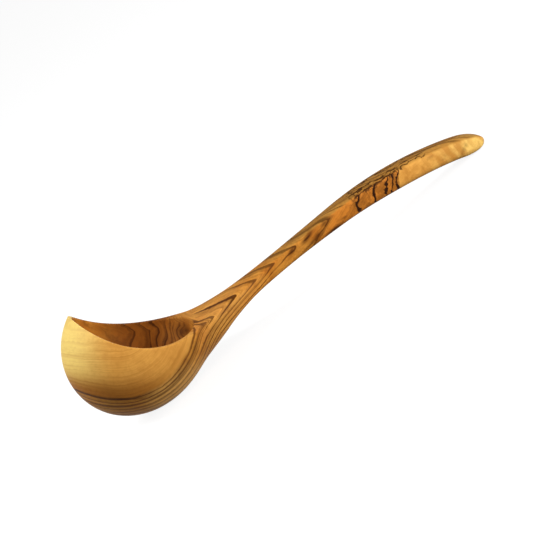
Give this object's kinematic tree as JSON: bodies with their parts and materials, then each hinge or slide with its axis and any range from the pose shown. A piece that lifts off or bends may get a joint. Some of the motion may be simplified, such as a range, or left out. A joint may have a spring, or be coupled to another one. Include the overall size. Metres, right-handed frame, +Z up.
{
  "type": "wooden ladle",
  "caption": "Soup ladle carved from a single piece of olive wood, with a deep round bowl, a swooping rim and an arched handle that widens to a rounded grip, for scooping and serving.",
  "frame": {"origin": "on the table that the ladle lies on, under the middle of its length and width", "axes": "+X along the length, from the bowl to the end of the handle; +Y across; +Z up from the table. The ladle rests on the back of its bowl and the end of its handle, and its plane of symmetry is Y = 0"},
  "size_m": [0.2864, 0.086, 0.0769],
  "materials": {
    "olive_wood": "sanded smooth and oiled to a soft satin sheen"
  },
  "bodies": {
    "root": {"ladle": "olive_wood"}
  },
  "joints": []
}
